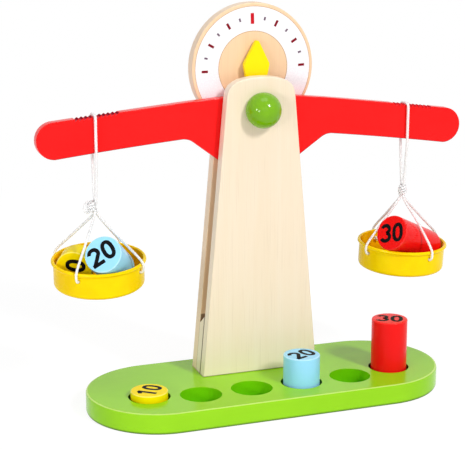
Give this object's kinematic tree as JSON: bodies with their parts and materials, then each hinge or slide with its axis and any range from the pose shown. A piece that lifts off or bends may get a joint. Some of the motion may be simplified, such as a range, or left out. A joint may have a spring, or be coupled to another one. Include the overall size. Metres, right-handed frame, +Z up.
{
  "type": "math balance",
  "caption": "Wooden toy balance: beam rocking on a post over a long socketed base, corded pans at both ends, pointer over a dial, and numbered round weights.",
  "frame": {"origin": "middle of the base's underside", "axes": "+X to the right along the base and beam, +Y to the back, +Z up"},
  "size_m": [0.3673, 0.1283, 0.3217],
  "materials": {
    "green_wood": "glossy lacquer",
    "bare_wood": "clear satin varnish",
    "green_knob": "glossy lacquer",
    "screw_steel": "zinc plated",
    "red_wood": "glossy lacquer",
    "yellow_wood": "glossy lacquer",
    "blue_wood": "glossy lacquer",
    "cotton_cord": "twisted cotton",
    "yellow_pan": "glossy enamel"
  },
  "bodies": {
    "stand": {"base_board": "green_wood", "front_board": "bare_wood", "rear_board": "bare_wood", "spacer_block": "bare_wood", "axle_dowel": "bare_wood", "front_ball_knob": "green_knob", "tower_screw_1": "screw_steel", "tower_screw_2": "screw_steel", "tower_screw_3": "screw_steel", "tower_screw_4": "screw_steel"},
    "rocker": {"beam": "red_wood", "pointer": "yellow_wood"},
    "left_hanger": {"left_hanger_loop": "cotton_cord"},
    "left_knot": {"left_gather_knot": "cotton_cord"},
    "left_sling": {"left_pan": "yellow_pan", "left_strand_1": "cotton_cord", "left_strand_2": "cotton_cord", "left_strand_3": "cotton_cord", "left_strand_4": "cotton_cord", "pan_weight_10": "yellow_wood"},
    "right_hanger": {"right_hanger_loop": "cotton_cord"},
    "right_knot": {"right_gather_knot": "cotton_cord"},
    "right_sling": {"right_pan": "yellow_pan", "right_strand_1": "cotton_cord", "right_strand_2": "cotton_cord", "right_strand_3": "cotton_cord", "right_strand_4": "cotton_cord"},
    "loose_20": {"pan_weight_20": "blue_wood"},
    "loose_30": {"pan_weight_30": "red_wood"},
    "stored_10": {"base_weight_10": "yellow_wood"},
    "stored_20": {"base_weight_20": "blue_wood"},
    "stored_30": {"base_weight_30": "red_wood"}
  },
  "joints": [
    {"name": "beam_tilt", "type": "hinge", "parent": "stand", "child": "rocker", "pos_m": [0, 0.026, 0.238], "axis": [0, 1, 0], "range_deg": [-12, 12]},
    {"name": "left_hanger_plumb", "type": "hinge", "parent": "rocker", "child": "left_hanger", "pos_m": [-0.13501, 0.026, 0.23921], "axis": [0, 1, 0], "range_deg": [-12, 12]},
    {"name": "left_pan_sway", "type": "hinge", "parent": "left_hanger", "child": "left_knot", "pos_m": [-0.13501, 0.026, 0.16591], "axis": [1, 0, 0], "range_deg": [-10, 10]},
    {"name": "left_pan_swing", "type": "hinge", "parent": "left_knot", "child": "left_sling", "pos_m": [-0.13501, 0.026, 0.16591], "axis": [0, 1, 0], "range_deg": [-10, 10]},
    {"name": "right_hanger_plumb", "type": "hinge", "parent": "rocker", "child": "right_hanger", "pos_m": [0.13494, 0.026, 0.23382], "axis": [0, 1, 0], "range_deg": [-12, 12]},
    {"name": "right_pan_sway", "type": "hinge", "parent": "right_hanger", "child": "right_knot", "pos_m": [0.13494, 0.026, 0.15902], "axis": [1, 0, 0], "range_deg": [-10, 10]},
    {"name": "right_pan_swing", "type": "hinge", "parent": "right_knot", "child": "right_sling", "pos_m": [0.13494, 0.026, 0.15902], "axis": [0, 1, 0], "range_deg": [-10, 10]},
    {"name": "pan_weight_20_draw", "type": "slide", "parent": "left_sling", "child": "loose_20", "axis": [-0.4795, -0.6971, 0.533], "range_m": [0, 0.03]},
    {"name": "pan_weight_30_draw", "type": "slide", "parent": "right_sling", "child": "loose_30", "axis": [-0.8137, -0.4201, 0.4019], "range_m": [0, 0.04]},
    {"name": "base_weight_10_lift", "type": "slide", "parent": "stand", "child": "stored_10", "axis": [0, 0, 1], "range_m": [0, 0.03]},
    {"name": "base_weight_20_lift", "type": "slide", "parent": "stand", "child": "stored_20", "axis": [0, 0, 1], "range_m": [0, 0.03]},
    {"name": "base_weight_30_lift", "type": "slide", "parent": "stand", "child": "stored_30", "axis": [0, 0, 1], "range_m": [0, 0.03]}
  ],
  "couplings": [
    {"joint": "left_hanger_plumb", "follows": "beam_tilt", "ratio": -1},
    {"joint": "right_hanger_plumb", "follows": "beam_tilt", "ratio": -1}
  ]
}
